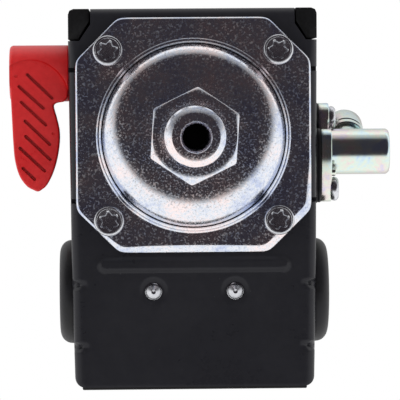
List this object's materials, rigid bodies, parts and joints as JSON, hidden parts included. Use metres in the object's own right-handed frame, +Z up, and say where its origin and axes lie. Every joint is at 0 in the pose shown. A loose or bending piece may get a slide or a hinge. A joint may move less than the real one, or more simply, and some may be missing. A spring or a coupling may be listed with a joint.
{
  "type": "air compressor pressure switch",
  "caption": "Diaphragm pressure switch with a threaded port, a shut-off lever, cable grommets and an unloader valve.",
  "frame": {"origin": "on the axis of the pressure port, at the lower shoulder of its hex", "axes": "+Z up into the switch towards the cover, +X towards the unloader valve, +Y towards the cable end"},
  "size_m": [0.0848, 0.084, 0.0804],
  "materials": {
    "zinc": "bright zinc plate",
    "steel": "plated steel",
    "alu": "turned",
    "spring_steel": "oiled spring steel",
    "rubber": "satin black",
    "black_paint": "semi-gloss black",
    "black_plastic": "fine texture",
    "paper": "pressed insulating card",
    "phenolic": "moulded phenolic",
    "brass": "bright",
    "red_plastic": "satin red",
    "white_plastic": "natural nylon",
    "yellow_zinc": "iridescent yellow zinc plate",
    "green_paint": "green passivated screw"
  },
  "bodies": {
    "housing": {"pressure_port": "zinc", "diaphragm_flange": "zinc", "flange_screws": "steel", "diaphragm": "rubber", "chassis": "black_paint", "grommet_left": "rubber", "grommet_right": "rubber", "mechanism_frame": "zinc", "main_lever_pin": "steel", "range_stud": "steel", "range_spring": "spring_steel", "insulating_sheet": "paper", "contact_block": "phenolic", "block_screws": "steel", "fixed_contacts": "brass", "terminal_screws": "brass", "rocker_pin": "steel", "toggle_spring": "spring_steel", "shaft_bushing": "white_plastic", "slide_guides": "zinc", "valve_gasket": "rubber", "valve_body": "yellow_zinc", "valve_screws": "steel", "valve_spring": "spring_steel", "valve_plug": "steel", "tube_nut": "yellow_zinc", "tube_ferrule": "brass", "ground_screw": "green_paint"},
    "cover": {"cover": "black_plastic", "cover_screw": "steel"},
    "shutoff": {"shutoff_lever": "red_plastic", "lever_shaft": "steel", "shutoff_cam": "zinc", "shaft_clip": "spring_steel"},
    "trip": {"trip_slide": "zinc"},
    "rocker": {"contact_rocker": "phenolic", "moving_contacts": "brass", "contact_springs": "spring_steel"},
    "bleed_pin": {"valve_pin": "brass"},
    "piston": {"pressure_plate": "alu"},
    "lever": {"main_lever": "zinc"},
    "cap": {"spring_cap": "zinc"},
    "nut": {"range_nut": "steel"}
  },
  "joints": [
    {"name": "cover_lift", "type": "slide", "parent": "housing", "child": "cover", "axis": [0, 0, 1], "range_m": [0, 0.06]},
    {"name": "lever_turn", "type": "hinge", "parent": "housing", "child": "shutoff", "pos_m": [-0.03, -0.0138, 0.033], "axis": [1, 0, 0], "range_deg": [0, 60]},
    {"name": "trip_travel", "type": "slide", "parent": "housing", "child": "trip", "axis": [0, 1, 0], "range_m": [0, 0.0016]},
    {"name": "rocker_tilt", "type": "hinge", "parent": "housing", "child": "rocker", "pos_m": [0, 0.0278, 0.039], "axis": [1, 0, 0], "range_deg": [0, 15]},
    {"name": "bleed_travel", "type": "slide", "parent": "housing", "child": "bleed_pin", "axis": [1, 0, 0], "range_m": [0, 0.0012], "deforming": ["valve_spring"]},
    {"name": "piston_travel", "type": "slide", "parent": "housing", "child": "piston", "axis": [0, 0, 1], "range_m": [0, 0.001], "stiffness_N_per_m": 2000},
    {"name": "main_lever_tilt", "type": "hinge", "parent": "housing", "child": "lever", "pos_m": [0, -0.02, 0.0298], "axis": [1, 0, 0], "range_deg": [0, 2.9], "deforming": ["toggle_spring", "range_spring"]},
    {"name": "range_travel", "type": "slide", "parent": "housing", "child": "cap", "axis": [0, 0, 1], "range_m": [-0.003, 0.003], "deforming": ["range_spring"]},
    {"name": "range_nut_turn", "type": "hinge", "parent": "cap", "child": "nut", "pos_m": [0, 0.0195, 0.0545], "axis": [0, 0, 1], "range_deg": [-1080, 1080]}
  ],
  "couplings": [
    {"joint": "trip_travel", "follows": "lever_turn", "m_per_rad": 0.0015278},
    {"joint": "rocker_tilt", "follows": "lever_turn", "ratio": 0.25},
    {"joint": "bleed_travel", "follows": "lever_turn", "m_per_rad": 0.0011459},
    {"joint": "main_lever_tilt", "follows": "piston_travel", "rad_per_m": 50},
    {"joint": "range_nut_turn", "follows": "range_travel", "rad_per_m": 6283}
  ]
}
